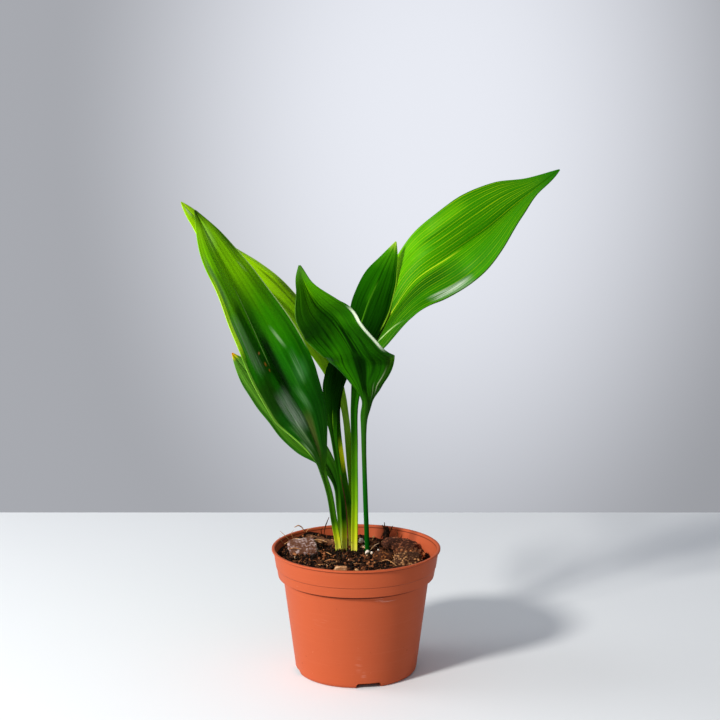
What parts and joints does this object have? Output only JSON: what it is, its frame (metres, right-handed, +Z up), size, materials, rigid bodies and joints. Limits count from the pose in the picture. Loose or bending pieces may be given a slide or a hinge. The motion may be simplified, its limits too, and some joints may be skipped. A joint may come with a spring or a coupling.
{
  "type": "potted cast iron plant",
  "caption": "Clump of upright, strap-shaped evergreen leaves on slender stalks, growing from bark potting mix in a round tapered plastic nursery pot that stands on its foot.",
  "frame": {"origin": "centre of the underside of the pot's foot, on the surface it stands on", "axes": "+Z up along the pot's axis, -Y towards the front, where the picture was taken from, +X to the right as seen from the front"},
  "size_m": [0.2948, 0.1576, 0.3844],
  "materials": {
    "pot_plastic": "satin terracotta-coloured moulded plastic",
    "soil": "rough damp bark potting mix",
    "leaf": "smooth waxy leaf with lengthwise veins",
    "bark": "rough weathered bark"
  },
  "bodies": {
    "root": {"pot": "pot_plastic", "soil": "soil", "leaf_front_left": "leaf", "leaf_back_left": "leaf", "leaf_low_left": "leaf", "leaf_inner_short": "leaf", "leaf_upright": "leaf", "leaf_right": "leaf", "leaf_front_wavy": "leaf", "bark_left": "bark", "bark_back_right": "bark", "bark_ribbed_right": "bark", "bark_front_right": "bark", "bark_small": "bark", "twig": "bark", "splinter": "bark", "chip_at_rim": "bark"}
  },
  "joints": []
}
